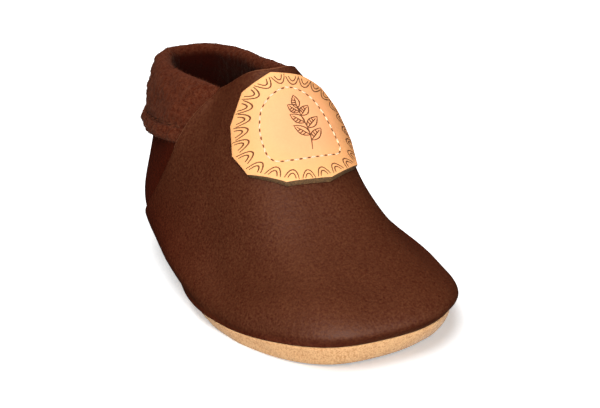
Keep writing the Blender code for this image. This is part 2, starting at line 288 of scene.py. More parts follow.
class ShoeColours(bpy.types.PropertyGroup):
    """Colours of the shoe's materials"""

    leather: colour_prop("Leather", "Soft brown leather", "#502714")
    leather_deep: colour_prop("Leather, deep", "Darker mottling of the leather", "#4A2210")
    # Painted shade: the leather's colour on the quarter, the sides and along the sole seam, where they turn
    # from the light
    leather_painted_shade: colour_prop("Leather, sides", "Less buffed leather of the sides and heel", "#461000")
    leather_edge: colour_prop("Leather edge", "Raw cut edge of the leather", "#9A6A50")
    leather_gleam: colour_prop("Leather gleam", "Tint of the leather's satin gleam", "#FFE7D7")
    fleece: colour_prop("Fleece", "Tips of the fleece", "#6E3F2B")
    # Painted shade: the fleece's colour in the hollows between its tufts, also used as a darker brown by the
    # fleece fibres and the felt pad
    fleece_deep: colour_prop("Fleece, deep", "Between the tufts of the fleece", "#451606")
    fleece_sheen: colour_prop("Fleece sheen", "Tint of the fleece's lighter edges", "#EDBFA6")
    # Painted shade: the fleece's colour deep inside the collar and on the upper's lining
    lining: colour_prop("Lining", "Fleece inside the collar, rubbed darker", "#240501")
    suede: colour_prop("Suede", "Tan sole suede", "#D2A677")
    suede_speck: colour_prop("Suede specks", "Darker fibres of the suede", "#AC794A")
    tan: colour_prop("Patch", "Natural leather near the patch's edge", "#FBBA7C")
    tan_pale: colour_prop("Patch, pale", "Natural leather in the patch's middle", "#FBB480")
    burnt: colour_prop("Burnt", "Burnt lines", "#7A4826")
    burnt_deep: colour_prop("Burnt, deep", "Darker stretches of the burnt lines", "#5A3418")
    burnt_edge: colour_prop("Burnt edge", "Cut edge of the patch", "#7C5C36")
    burnt_edge_deep: colour_prop("Burnt edge, deep", "Charred layers of the patch's cut edge", "#463222")
    thread: colour_prop("Thread", "Cream sewing thread", "#F4E3C0")
    floor: colour_prop("Floor", "Studio floor", "#F6F6F6")


def sizes():
    return bpy.context.scene.shoe_sizes


def tint(name, share=1.0):
    """One of the shoe's colours, or a darker share of it, with full alpha."""
    return (*(share * c for c in getattr(bpy.context.scene.shoe_colours, name)), 1.0)


def ease(x):
    """A smooth step from 0 to 1."""
    x = np.clip(x, 0.0, 1.0)
    return x * x * (3 - 2 * x)


def bell(x):
    """A smooth hill of height 1 round 0."""
    return np.exp(-x ** 2)


def ring_bends():
    """Second derivatives of the natural cubics through each column of the rings."""
    knots = RINGS[:, 0]
    gap = np.diff(knots)
    system = np.eye(len(knots))
    right = np.zeros_like(RINGS)
    for i in range(1, len(knots) - 1):
        system[i, i - 1:i + 2] = gap[i - 1], 2 * (gap[i - 1] + gap[i]), gap[i]
        right[i] = 6 * ((RINGS[i + 1] - RINGS[i]) / gap[i] - (RINGS[i] - RINGS[i - 1]) / gap[i - 1])
    return np.linalg.solve(system, right)


RING_BENDS = ring_bends()


def rings_at(levels):
    """The rings at an array of levels, as one array for each column's name."""
    knots = RINGS[:, 0]
    i = np.clip(np.searchsorted(knots, levels, side="right") - 1, 0, len(knots) - 2)
    gap = (knots[i + 1] - knots[i])[:, None]
    b = (levels - knots[i])[:, None] / gap
    a = 1 - b
    rows = a * RINGS[i] + b * RINGS[i + 1]
    rows += ((a ** 3 - a) * RING_BENDS[i] + (b ** 3 - b) * RING_BENDS[i + 1]) * gap ** 2 / 6
    return dict(zip(RING_NAMES, rows.T))


def hermite(f, start, start_slope, end, end_slope):
    """A cubic from start to end with the given slopes."""
    return (
        start * (2 * f ** 3 - 3 * f ** 2 + 1)
        + start_slope * (f ** 3 - 2 * f ** 2 + f)
        + end * (3 * f ** 2 - 2 * f ** 3)
        + end_slope * (f ** 3 - f ** 2)
    )


def last_points(turns, levels):
    """Points of the last. A turn runs from 0 at the heel by the outer side to pi at the front."""
    size = sizes()
    ring = rings_at(levels)
    along = (1 - np.cos(turns)) / 2
    side = np.sin(turns)
    front_blunt = TOE_BLUNT + (THROAT_BLUNT - TOE_BLUNT) * levels
    blunt = HEEL_BLUNT + (front_blunt - HEEL_BLUNT) * along
    fore = np.where(side >= 0, ring["outer"], ring["inner"])
    half = ring["rear"] + (fore - ring["rear"]) * ease((along - WIDEN_FROM) / WIDEN_OVER)
    x = -np.copysign(half * np.abs(side) ** blunt, side)
    x += ring["swing"] * ease((along - SWING_FROM) / (1 - SWING_FROM))
    y = ring["heel_at"] + (ring["front_at"] - ring["heel_at"]) * along
    climb = ring["front_up"] - ring["side_up"]
    slope = CLIMB_START * climb
    low = hermite(np.clip(along / CLIMB_AT, 0, 1), ring["heel_up"], 0.0, ring["side_up"],
                  slope * CLIMB_AT / (1 - CLIMB_AT))
    high = hermite(np.clip((along - CLIMB_AT) / (1 - CLIMB_AT), 0, 1), ring["side_up"], slope,
                   ring["front_up"], CLIMB_END * climb)
    z = np.where(along < CLIMB_AT, low, high)
    return np.stack((x * size.width, -y * size.length, z * size.height), axis=-1) - LAST_MIDDLE


def unit(vectors):
    return vectors / np.linalg.norm(vectors, axis=-1, keepdims=True)


def last_normals(turns, levels):
    """Outward directions of the last, turned level at the sole seam."""
    step = 0.002
    low = np.maximum(levels, step)
    across = last_points(turns + step, low) - last_points(turns - step, low)
    up = last_points(turns, low + step) - last_points(turns, low - step)
    normals = np.cross(across, up)
    normals[:, 2] *= ease(levels / FLARE_TOP)
    return unit(normals)


def off_last(turns, levels, out):
    """Points that stand out from the last by the given distances."""
    return last_points(turns, levels) + last_normals(turns, levels) * np.reshape(out, (-1, 1))


def turns_at(columns, levels):
    """Turns of columns. Columns 1 and 3 follow the vamp's side edges and 2 is the toe."""
    edge = EDGE_FOOT + (EDGE_TOP - EDGE_FOOT) * np.clip(levels, 0, None) ** EDGE_BEND
    half = np.minimum(columns, 4 - columns)
    turn = np.where(half <= 1, edge * half, edge + (math.pi - edge) * (half - 1))
    return np.where(columns <= 2, turn, 2 * math.pi - turn)


def waves(points, millimetres, seed):
    """Smooth uneven waves, mostly between -1 and 1 and about as long as given, at each point."""
    rng = np.random.default_rng(seed)
    total = np.zeros(len(points))
    for _ in range(14):
        way = unit(rng.normal(size=3))
        length = millimetres * MM * rng.uniform(0.7, 1.6)
        total += np.sin(points @ way * 2 * math.pi / length + rng.uniform(0, 2 * math.pi))
    return total / 5.3


def show(obj):
    bpy.context.scene.collection.objects.link(obj)
    return obj


def piece_from(bm, name):
    """A finished bmesh as an object in the scene."""
    mesh = bpy.data.meshes.new(name)
    bm.to_mesh(mesh)
    bm.free()
    return show(bpy.data.objects.new(name, mesh))


def loft(name, across, along, place, paint=None, shade=None):
    """A mesh object from a grid of across by along faces, bent to where place puts its corners.

    Paint picks each face's material, and shade how deep the painted shade is at each corner.
    """
    bm = bmesh.new()
    bmesh.ops.create_grid(bm, x_segments=across, y_segments=along, size=0.5)
    flat = np.array([vert.co for vert in bm.verts])
    i = np.rint((flat[:, 0] + 0.5) * across).astype(int)
    j = np.rint((flat[:, 1] + 0.5) * along).astype(int)
    if paint:
        for face in bm.faces:
            spot = face.calc_center_median()
            face.material_index = paint((spot.x + 0.5) * across, (spot.y + 0.5) * along)
    for vert, spot in zip(bm.verts, place(i, j)):
        vert.co = spot
    if shade:
        layer = bm.verts.layers.float.new("shade")
        for vert, share in zip(bm.verts, shade(i, j)):
            vert[layer] = share
    bmesh.ops.remove_doubles(bm, verts=bm.verts, dist=0.004 * MM)
    holes = [edge for edge in bm.edges if edge.is_boundary]
    if holes:
        bmesh.ops.holes_fill(bm, edges=holes, sides=0)
    bmesh.ops.recalc_face_normals(bm, faces=bm.faces)
    for face in bm.faces:
        face.smooth = True
    return piece_from(bm, name)


def finish_piece(obj, cad_node, slot, *materials):
    """Gives a piece its materials and ties it to the shoe's body."""
    for mat in materials:
        obj.data.materials.append(mat)
    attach(obj, "root")
    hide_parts(cad_node)


def wire(tree, made, **inputs):
    """Sets a node's inputs; each is a value or another node's output."""
    for name, value in inputs.items():
        socket = made.inputs[name.replace("_", " ")]
        if isinstance(value, bpy.types.NodeSocket):
            tree.links.new(value, socket)
        else:
            socket.default_value = value


def node(tree, kind, settings=None, out=0, **inputs):
    """Adds one shader node with its settings and inputs, and gives its output."""
    made = tree.nodes.new("ShaderNode" + kind)
    for name, value in (settings or {}).items():
        setattr(made, name, value)
    wire(tree, made, **inputs)
    return made.outputs[out]


def noise(tree, spots, millimetres, detail=2.0, rough=0.5, twist=0.0):
    """Cloudy noise whose features lie so far apart."""
    return node(tree, "TexNoise", Vector=spots, Scale=1 / (millimetres * MM), Detail=detail,
                Roughness=rough, Distortion=twist)


def ranged(tree, value, low, high, to_low=0.0, to_high=1.0, kind="LINEAR"):
    """A value stretched from one range to another and held there."""
    return node(tree, "MapRange", {"interpolation_type": kind}, Value=value, From_Min=low, From_Max=high,
                To_Min=to_low, To_Max=to_high)


def mixed(tree, share, first, second, blend="MIX"):
    """Two colours or heights blended by a share."""
    return node(tree, "MixRGB", {"blend_type": blend}, Fac=share, Color1=first, Color2=second)


def bumped(tree, height, strength, millimetres):
    """Normals of a relief of such a depth."""
    return node(tree, "Bump", Strength=strength, Distance=millimetres * MM, Height=height)


def new_material(name):
    """A material with its tree, its Principled shader and its object coordinates."""
    mat = bpy.data.materials.new(name)
    mat.use_nodes = True
    tree = mat.node_tree
    return mat, tree, tree.nodes["Principled BSDF"], node(tree, "TexCoord", out="Object")


def leather_material():
    """Milled cow leather with a fine buffed grain.

    It has a soft satin gleam and a gently mottled brown, with painted shade on the quarter, the sides and
    along the sole seam, and grain specks that are partly its own tone, partly painted shade and sheen.
    """
    mat, tree, shader, spots = new_material("milled_leather")
    cloud = noise(tree, spots, 11, 3.0, 0.55)
    # Pores lie about 0.2 mm apart and are drawn at 0.55 mm so that they show
    fine = noise(tree, spots, 0.55, 3.0, 0.65)
    cells = node(tree, "TexVoronoi", {"feature": "SMOOTH_F1"}, Vector=spots, Scale=1 / (1.2 * MM),
                 Smoothness=0.3)
    share = ranged(tree, cloud, 0.25, 0.75)
    mottled = mixed(tree, share, tint("leather_deep"), tint("leather"))
    # Painted shade on the quarter, the sides and along the sole seam, read from the piece's shade attribute
    shade = node(tree, "Attribute", {"attribute_name": "shade"}, "Fac")
    base = mixed(tree, shade, mottled, tint("leather_painted_shade"))
    # Grain specks: partly the leather's own tone, partly painted shade in the pores and painted sheen on the
    # tops
    speck = ranged(tree, fine, 0.3, 0.7)
    grain_tone_and_sheen = mixed(tree, speck, PORE_TINT, GRAIN_SHEEN_TINT)
    relief = mixed(tree, 0.6, fine, cells)
    wire(tree, shader, Base_Color=mixed(tree, 1.0, base, grain_tone_and_sheen, "MULTIPLY"),
         Roughness=ranged(tree, speck, 0.0, 1.0, 0.52, 0.70), Normal=bumped(tree, relief, 0.7, 0.26),
         IOR=1.45, Specular_IOR_Level=0.48, Specular_Tint=tint("leather_gleam"))
    return mat


def cut_edge_material():
    """Raw cut leather: dry open fibre, a little lighter than the face."""
    mat, tree, shader, spots = new_material("raw_leather_edge")
    fibre = noise(tree, spots, 0.4)
    wire(tree, shader, Base_Color=mixed(tree, fibre, tint("leather"), tint("leather_edge")),
         Normal=bumped(tree, fibre, 0.6, 0.1), Roughness=0.85, Specular_IOR_Level=0.1)
    return mat


def fleece_material():
    """Brushed fleece: dull tufted pile that lightens at its edges, with painted shade in the hollows between
    tufts and deep inside the collar.
    """
    if "brushed_fleece" in bpy.data.materials:
        return bpy.data.materials["brushed_fleece"]
    mat, tree, shader, spots = new_material("brushed_fleece")
    tufts = noise(tree, spots, 1.1, 4.0, 0.7, 0.2)
    # Single fibres are about 0.05 mm thick and are drawn at 0.4 mm so that they show
    fibre = noise(tree, spots, 0.4, 2.0, 0.7)
    height = mixed(tree, 0.35, tufts, fibre)
    # Painted shade: the pile is drawn darker in the hollows between tufts, where the relief is low
    pile = mixed(tree, ranged(tree, height, 0.41, 0.70), tint("fleece_deep"), tint("fleece"))
    # Painted shade deep inside the collar, read from the piece's shade attribute
    shade = node(tree, "Attribute", {"attribute_name": "shade"}, "Fac")
    wire(tree, shader, Base_Color=mixed(tree, shade, pile, tint("lining")),
         Normal=bumped(tree, height, 0.8, 0.7), Roughness=1.0, Specular_IOR_Level=0.05,
         Sheen_Weight=0.07, Sheen_Roughness=0.5, Sheen_Tint=tint("fleece_sheen"))
    return mat


def fibre_material():
    """Single fleece fibres, dyed brown and dull, mixing at random the fleece's tip colour and its darker
    colour of painted shade.
    """
    mat, tree, shader, spots = new_material("fleece_fibre")
    base = mixed(tree, noise(tree, spots, 1.6), tint("fleece_deep"), tint("fleece"))
    wire(tree, shader, Base_Color=base, Roughness=0.9, Specular_IOR_Level=0.1, Sheen_Weight=0.05)
    return mat


def suede_material():
    """Split suede: short tan nap, speckled with darker fibres, quite matt."""
    mat, tree, shader, spots = new_material("split_suede")
    fibre = noise(tree, spots, 0.5, 3.0, 0.7)
    share = ranged(tree, mixed(tree, 0.1, fibre, noise(tree, spots, 5)), 0.34, 0.56)
    wire(tree, shader, Base_Color=mixed(tree, share, tint("suede_speck"), tint("suede")),
         Normal=bumped(tree, fibre, 0.7, 0.25), Roughness=0.95, Specular_IOR_Level=0.2, Sheen_Weight=0.2)
    return mat


def felt_material():
    """Pressed wool felt: flat brown with stray fibres."""
    mat, tree, shader, spots = new_material("pressed_felt")
    fibre = noise(tree, spots, 0.9, 4.0, 0.7, 1.5)
    wire(tree, shader, Base_Color=mixed(tree, fibre, tint("fleece_deep"), tint("leather_deep")),
         Normal=bumped(tree, fibre, 0.6, 0.3), Roughness=0.95)
    return mat


def patch_material(middle):
    """Vegetable-tanned leather, smooth and undyed: warm tan, paler in the middle, faint pores."""
    mat, tree, shader, spots = new_material("natural_leather")
    centred = node(tree, "Mapping", Vector=spots, Location=tuple(-c for c in middle))
    reach = node(tree, "VectorMath", {"operation": "LENGTH"}, "Value", Vector=centred)
    ring = ranged(tree, reach, 7 * MM, 17 * MM, kind="SMOOTHSTEP")
    base = mixed(tree, ring, tint("tan_pale"), tint("tan"))
    # Pores lie about 0.2 mm apart and are drawn at 0.6 mm so that they show
    pores = noise(tree, spots, 0.6, 3.0, 0.6)
    mottle = mixed(tree, 0.5, pores, noise(tree, spots, 6))
    shade = ranged(tree, mottle, 0.3, 0.7, 0.93, 1.05)
    wire(tree, shader, Base_Color=mixed(tree, 1.0, base, shade, "MULTIPLY"),
         Normal=bumped(tree, pores, 0.25, 0.08), Roughness=0.62, Specular_IOR_Level=0.25)
    return mat


def burnt_edge_material():
    """Leather edge scorched by the cutter: brown with paler layers of fibre."""
    mat, tree, shader, spots = new_material("scorched_edge")
    share = ranged(tree, noise(tree, spots, 0.5, 3.0, 0.7), 0.35, 0.65)
    wire(tree, shader, Base_Color=mixed(tree, share, tint("burnt_edge_deep"), tint("burnt_edge")),
         Roughness=0.8)
    return mat


def burnt_line_material():
    """Lines scorched into the leather's face, dark and dry."""
    mat, tree, shader, spots = new_material("scorched_line")
    base = mixed(tree, noise(tree, spots, 0.9), tint("burnt_deep"), tint("burnt"))
    wire(tree, shader, Base_Color=base, Roughness=0.85)
    return mat


def thread_material(name, colour, share=1.0):
    """Twisted sewing thread with fine slanting plies and a soft gloss."""
    mat, tree, shader, spots = new_material(name)
    slanted = node(tree, "Mapping", Vector=spots, Rotation=(0.6, 0.4, 0.8))
    # A wave has about three bands to a unit, so plies lie about 0.35 mm apart
    plies = node(tree, "TexWave", None, "Fac", Vector=slanted, Scale=1 / (1.1 * MM), Distortion=1.0)
    wire(tree, shader, Base_Color=mixed(tree, plies, tint(colour, 0.72 * share), tint(colour, share)),
         Normal=bumped(tree, plies, 0.5, 0.06), Roughness=0.6, Specular_IOR_Level=0.15)
    return mat


def floor_material():
    """Matt white floor that glows as painted light, less so round the shoe, which paints a soft shadow
    there.
    """
    mat, tree, shader, spots = new_material("studio_floor")
    cloud = node(tree, "TexNoise", Vector=spots, Scale=3.0, Detail=1.0)
    reach = node(tree, "VectorMath", {"operation": "LENGTH"}, "Value", Vector=spots)
    # Painted light: the floor glows, dimmer near the shoe as a painted shadow round it
    wire(tree, shader, Base_Color=mixed(tree, cloud, tint("floor"), (*WHITE, 1.0)),
         Roughness=0.9, Specular_IOR_Level=0.1, Emission_Color=(*WHITE, 1.0),
         Emission_Strength=ranged(tree, reach, 0.08, 0.30, 0.48, 1.0, "SMOOTHSTEP"))
    return mat


def upper_columns():
    """Columns round the upper, close together at the vamp's edges."""
    before = np.array((0.030, 0.018, 0.011, 0.0075, 0.006, 0.0048, 0.0036, 0.0024, 0.0012))
    after = np.array((0.0, 0.0015, 0.004, 0.008, 0.014))
    heel = np.concatenate((np.linspace(0, 0.96, 44), 1 - before))
    vamp = np.concatenate((1 + after, np.linspace(1.025, 2.975, 150), 3 - after[::-1]))
    return np.concatenate((heel, vamp, 4 - heel[::-1]))


def fold_depths(points):
    """How far the listed folds press each point of the leather inward."""
    depth = np.zeros(len(points))
    for column_a, level_a, column_b, level_b, wide, deep in FOLDS:
        columns, levels = np.array((column_a, column_b)), np.array((level_a, level_b))
        a, b = last_points(turns_at(columns, levels), levels)
        f = np.clip((points - a) @ (b - a) / np.dot(b - a, b - a), 0, 1)
        off = np.linalg.norm(points - a - f[:, None] * (b - a), axis=1)
        along = np.sin(math.pi * np.clip(f, 0.12, 0.88))
        depth += deep * MM * bell(off / (wide * MM)) * (FOLD_ENDS + (1 - FOLD_ENDS) * along)
    return depth


def upper_outs(columns, levels):
    """Outer face of the leather, out from the last.

    The vamp steps over the quarter, lifts over the cuff, is fuller at the toe and softly uneven.
    """
    size = sizes()
    half = np.minimum(columns, 4 - columns)
    step = ease((half - 1 + STEP_WIDE) / STEP_WIDE)
    face = size.quarter_face + (size.vamp_face - size.quarter_face) * step
    face -= EDGE_DROP * step * np.exp(-(half - 1).clip(0) / STEP_WIDE)
    over_cuff = ease((levels - HEM_LEVEL) / 0.06) * ease((1.0 - levels) / 0.10) * step
    face += CUFF_LIFT * over_cuff * bell((half - 1) / 0.05)
    face *= ease(levels / STEP_FROM)
    soft = ease(levels / SOFT_FROM)
    face += TOE_FULL * bell((columns - TOE_COLUMN) / 0.38) * bell((levels - TOE_LEVEL) / 0.10) * soft
    points = last_points(turns_at(columns, levels), levels)
    face -= fold_depths(points) * soft
    face += waves(points, SLOW_WAVE_LONG, seed=3) * SLOW_WAVE * soft
    gathers = bell((levels - GATHER_LEVEL) / 0.05) * waves(points * (1, 1, 0.2), GATHER_LONG, seed=5)
    return face + GATHER * gathers


def make_upper():
    """The one leather wall with its lining face, open at the collar and underneath."""
    size = sizes()
    columns = upper_columns()
    outer = np.linspace(0, 1, OUTER_ROWS)
    rim = np.linspace(0, 1, RIM_ROWS)[1:-1]
    inner = np.linspace(1, 0, LINING_ROWS)
    shares = np.concatenate((outer, np.ones(len(rim)), inner, (0.0,)))
    depth = np.concatenate((np.zeros(len(outer)), rim, np.ones(len(inner)), (0.0,)))
    rim_row = len(outer) - 1
    lining_row = rim_row + len(rim) + 1
    leather, cut_edge, lining = range(3)

    def place(i, j):
        column, share, through = columns[i], shares[j], depth[j]
        half = np.minimum(column, 4 - column)
        level = share * np.where(half >= 1, 1.0, QUARTER_TOP)
        face = upper_outs(column, level)
        out = face + (size.lining_face - face) * through
        points = off_last(turns_at(column, level), level, out)
        points[:, 2] += RIM_CROWN * np.sin(math.pi * through) * (share == 1)
        return points

    def paint(across, along):
        column = np.interp(across, np.arange(len(columns)), columns)
        half = min(column, 4 - column)
        if along > lining_row:
            return lining
        if along > rim_row or CUT_FROM < half < (FREE_CUT_TO if along > FREE_ROW else CUT_TO):
            return cut_edge
        return leather

    # Painted shade: the quarter, the lining, the vamp's sides and a band along the sole seam get the darker
    # colour, as they turn from the light
    def shade(i, j):
        half = np.minimum(columns[i], 4 - columns[i])
        reach = np.where(columns[i] < 2, OUTER_UNSHADED, INNER_UNSHADED)
        side = ease((reach - half) / 0.55) * ease((0.7 - shares[j]) / 0.4)
        seam = 0.6 * ease((0.13 - shares[j]) / 0.12)
        return np.where((half < 1) | (depth[j] > 0), 1.0, np.maximum(side, seam))

    upper = loft("leather_upper", len(columns) - 1, len(shares) - 1, place, paint, shade)
    finish_piece(upper, "upper", "upper_leather", leather_material(), cut_edge_material(), fleece_material())


def seam_points(columns, inset):
    """Points inside the sole seam by the given insets."""
    levels = np.zeros(len(columns))
    return off_last(turns_at(columns, levels), levels, -np.asarray(inset))


def middle_points(columns, inset):
    """Points halfway between the two sides of the seam."""
    return (seam_points(columns, inset) + seam_points(4 - columns, inset)) / 2


def spring_at(y):
    """Lift of the sole's toe end off the floor."""
    size = sizes()
    start = -SPRING_FROM * size.length - LAST_MIDDLE[1]
    return size.spring * np.clip((start - y) / ((1 - SPRING_FROM) * size.length), 0, None) ** 2


def seam_columns(heel_steps, vamp_steps):
    """Columns round the sole, with their own steps at the heel's two sides and round the vamp."""
    return np.concatenate((np.linspace(0, 1, heel_steps), np.linspace(1, 3, vamp_steps)[1:],
                           np.linspace(3, 4, heel_steps)[1:]))


def make_outsole():
    """The suede sole with its rounded nappy edge and inner rim."""
    size = sizes()
    columns = seam_columns(heel_steps=60, vamp_steps=180)
    spokes = np.array((1, 0.6, 0.2))
    arc = np.radians(np.linspace(90, 0, 15))
    toward = np.concatenate((spokes, np.zeros(len(arc) + 2), spokes[::-1]))
    below, well = np.zeros(len(spokes)), np.zeros(len(spokes) + 1)
    inset = np.concatenate((below + size.sole_round, size.sole_round * (1 - np.cos(arc)),
                            (RIM_INSET,), well + WELL_INSET))
    height = np.concatenate((below, 1 - np.sin(arc), (1,), well))
    rim_row = len(spokes) + len(arc)
    rounding = np.interp(columns, *np.transpose(SOLE_ROUNDING))
    tuck = np.interp(columns, *np.transpose(SOLE_TUCK)) * MM

    def place(i, j):
        column = columns[i]
        shift = np.where(j < rim_row, inset[j] * rounding[i] + tuck[i], inset[j])
        points = seam_points(column, shift)
        rim = points[:, 2] - size.gap
        middle = middle_points(column, shift)
        points += (middle - points) * toward[j][:, None]
        floor = spring_at(points[:, 1])
        points[:, 2] = floor + np.where(j > rim_row, size.sole, (rim - floor) * height[j])
        outward = points - middle
        outward[:, 2] = 0
        ragged = RAGGED * ((height[j] > 0.02) & (height[j] < 0.98)) * waves(points, RAGGED_LONG, seed=9)
        push = ragged / np.maximum(np.linalg.norm(outward, axis=1), 0.1 * MM)
        return points + outward * push[:, None]

    sole = loft("suede_sole", len(columns) - 1, len(inset) - 1, place)
    finish_piece(sole, "outsole", "suede_sole", suede_material())


def make_insole():
    """The felt pad, soft at its edge and very slightly dished."""
    size = sizes()
    columns = seam_columns(heel_steps=40, vamp_steps=110)
    toward, lip, up = np.transpose(PAD_SECTION)
    rear = ease((1.5 - np.minimum(columns, 4 - columns)) / 0.5)

    def place(i, j):
        column, inset = columns[i], PAD_INSET - lip[j] * MM * rear[i]
        points = seam_points(column, inset)
        points += (middle_points(column, inset) - points) * toward[j][:, None]
        points[:, 2] = spring_at(points[:, 1]) + size.sole + size.gap + up[j] * size.felt
        return points

    pad = loft("felt_pad", len(columns) - 1, len(toward) - 1, place)
    finish_piece(pad, "insole", "felt_insole", felt_material())


def closed_curve(table, steps):
    """A smooth closed curve through a table of points, with so many steps between them."""
    count = len(table)
    rows = []
    for k in range(count):
        p0, p1, p2, p3 = (table[(k + d) % count] for d in (-1, 0, 1, 2))
        for f in np.arange(steps) / steps:
            rows.append(0.5 * (2 * p1 + (p2 - p0) * f + (2 * p0 - 5 * p1 + 4 * p2 - p3) * f ** 2
                               + (3 * p1 - p0 - 3 * p2 + p3) * f ** 3))
    return np.array(rows + rows[:1])


def cuff_spots(columns, up):
    """Turns and levels of the wall that the cuff lies on, at columns from -1 to 1 round the heel."""
    levels = QUARTER_TOP + np.minimum(up, 0.0) / WALL_CLIMB
    return turns_at(columns % 4, levels), levels


def cuff_points(columns, out, up):
    """Points of the cuff, with its fleece pinched at both ends."""
    size = sizes()
    inner_back = size.lining_face - size.gap
    outer_back = size.quarter_face + size.gap
    pinch = PINCH + (1 - PINCH) * ease((1 - np.abs(columns)) / PINCH_OVER)
    out = np.where(out > outer_back, outer_back + (out - outer_back) * pinch, out)
    out = np.where(out < inner_back, inner_back + (out - inner_back) * pinch, out)
    turns, levels = cuff_spots(columns, up)
    rise = unit(last_points(turns, levels) - last_points(turns, levels - 0.01))
    return off_last(turns, levels, out) + rise * np.maximum(up, 0.0)[:, None]


def make_cuff():
    """The fleece strip folded over the collar, with its turned hem, tufts and stitches."""
    section = closed_curve(np.array(CUFF_SECTION) * MM, 6)
    columns = np.linspace(-CUFF_END, CUFF_END, 330)

    def place(i, j):
        column, (out, up) = columns[i], section[j].T
        from_end = TUFTS_END - np.abs(column)
        points = cuff_points(column, out, up)
        # Tufts stand where the fleece shows: outside, inside and over the rim
        shown = ease((out + 0.5 * MM) / (1.5 * MM)) + ease((-3.4 * MM - out) / (0.6 * MM))
        shown = np.clip(shown + ease((up - 0.6 * MM) / (0.5 * MM)), 0, 1) * ease(from_end / 0.06)
        tuft = TUFT * np.abs(waves(points, 3.4, seed=11)) + FINE_TUFT * waves(points, 1.6, seed=14)
        tuft += BROAD_TUFT * waves(points, 8, seed=12) - TUFT_SINK
        hem = bell((up + CUFF_DEEP) / (1.6 * MM))
        tuft += HEM_TUFT * hem * waves(points * (1, 1, 0.3), 4, seed=13)
        side = np.where(out > -1.2 * MM, 1.0, -1.0)
        points += last_normals(*cuff_spots(column, up)) * (tuft * MM * shown * side)[:, None]
        sway = np.sin(column * 5.1 + 0.4) * ease(-up / CUFF_DEEP) * ease(from_end / 0.1)
        rise = bell((column - RIM_RISE_AT) / 0.3) * ease((up + 5 * MM) / (6 * MM))
        points[:, 2] += SWAY * sway + RIM_RISE * rise
        return points

    # Painted shade: the fleece darkens inside the collar, below its rim
    def shade(i, j):
        out, up = section[j].T
        return ease((-0.2 * MM - out) / (1.5 * MM)) * ease((3.9 * MM - up) / (3.6 * MM))

    cuff = loft("fleece_cuff", len(columns) - 1, len(section) - 1, place, shade=shade)
    finish_piece(cuff, "cuff", "cuff_fleece", fleece_material())
    finish_piece(fleece_nap(cuff), "cuff", "cuff_fleece", fibre_material())
    spots = np.linspace(-0.95, 0.95, HEM_STITCHES)
    up = np.full(HEM_STITCHES, HEM_UP)
    path = cuff_points(spots, np.full(HEM_STITCHES, HEM_OUT), up)
    seam = stitch_row("hem_stitches", path, unit(np.gradient(path, axis=0)),
                      last_normals(*cuff_spots(spots, up)), HEM_STITCH, HEM_THREAD)
    finish_piece(seam, "cuff", "cuff_fleece", thread_material("brown_thread", "fleece", 0.7))


def fleece_nap(cuff):
    """Short bent fibres standing on the cuff, each a strip that ends in a point."""
    size = sizes()
    rng = np.random.default_rng(21)
    faces = cuff.data.polygons
    # Few fibres stand where the cuff is in painted shade
    shade = np.array([corner.value for corner in cuff.data.attributes["shade"].data])
    areas = np.array([face.area * (1 - shade[list(face.vertices)].mean()) for face in faces])
    picked = [faces[k] for k in rng.choice(len(faces), size=size.nap_count, p=areas / areas.sum())]
    vectors, numbers = (len(picked), 3), (len(picked), 1)
    root = np.array([face.center for face in picked]) + rng.normal(scale=FIBRE_SCATTER, size=vectors)
    way = unit(np.array([face.normal for face in picked]) + rng.normal(scale=FIBRE_LEAN, size=vectors))
    side = unit(np.cross(way, rng.normal(size=vectors)))
    long = size.nap * rng.uniform(0.5, 1.25, size=numbers)
    side *= FIBRE_HALF * rng.uniform(0.8, 1.3, size=numbers)
    bend = rng.normal(scale=FIBRE_BEND, size=vectors) * long
    root -= way * FIBRE_ROOT
    middle = root + way * long * FIBRE_MIDDLE + bend * MIDDLE_BEND
    narrow = side * MIDDLE_WIDE
    tip = root + way * long + bend
    spots = np.array(((root - side, root + side), (middle - narrow, middle + narrow), (tip, tip)))

    bm = bmesh.new()
    across = 2 * len(picked) - 1
    bmesh.ops.create_grid(bm, x_segments=across, y_segments=2, size=0.5)
    between = [face for face in bm.faces if int((face.calc_center_median().x + 0.5) * across) % 2]
    bmesh.ops.delete(bm, geom=between, context="FACES")
    tips = []
    for vert in bm.verts:
        column, row = round((vert.co.x + 0.5) * across), round((vert.co.y + 0.5) * 2)
        vert.co = spots[row, column % 2, column // 2]
        if row == 2:
            tips.append(vert)
    bmesh.ops.remove_doubles(bm, verts=tips, dist=0.0001 * MM)
    return piece_from(bm, "fleece_nap")


def turned(spot, tangent, side, normal):
    """The placing that lays a shape's own axes along a tangent, a side and a normal at a spot."""
    return Matrix.Translation(Vector(spot)) @ Matrix((tangent, side, normal)).transposed().to_4x4()


def stitch_row(name, spots, tangents, normals, long, thick):
    """A row of sewn stitches, each a short plump length of thread."""
    bm = bmesh.new()
    rng = np.random.default_rng(31)
    lying = Matrix.Rotation(math.pi / 2, 4, "Y")
    for spot, tangent, normal in zip(spots, tangents, normals):
        tangent = unit(tangent + np.cross(normal, tangent) * rng.normal(scale=0.10))
        side = unit(np.cross(normal, tangent))
        scale = Matrix.Diagonal((long / 2 * rng.uniform(0.9, 1.08), thick / 2, thick / 2.4, 1.0))
        place = turned(spot, tangent, side, np.cross(tangent, side)) @ scale @ lying
        bmesh.ops.create_uvsphere(bm, u_segments=10, v_segments=7, radius=1.0, matrix=place)
    for face in bm.faces:
        face.smooth = True
    return piece_from(bm, name)


def patch_axes():
    """The patch's middle on the last and its directions across and along the instep."""
    turn, level = np.array((PATCH_TURN,)), np.array((PATCH_LEVEL,))
    middle, normal = last_points(turn, level)[0], last_normals(turn, level)[0]
    across = unit(np.array((1.0, 0.0, 0.0)) - normal * normal[0])
    return middle, across, np.cross(normal, across)


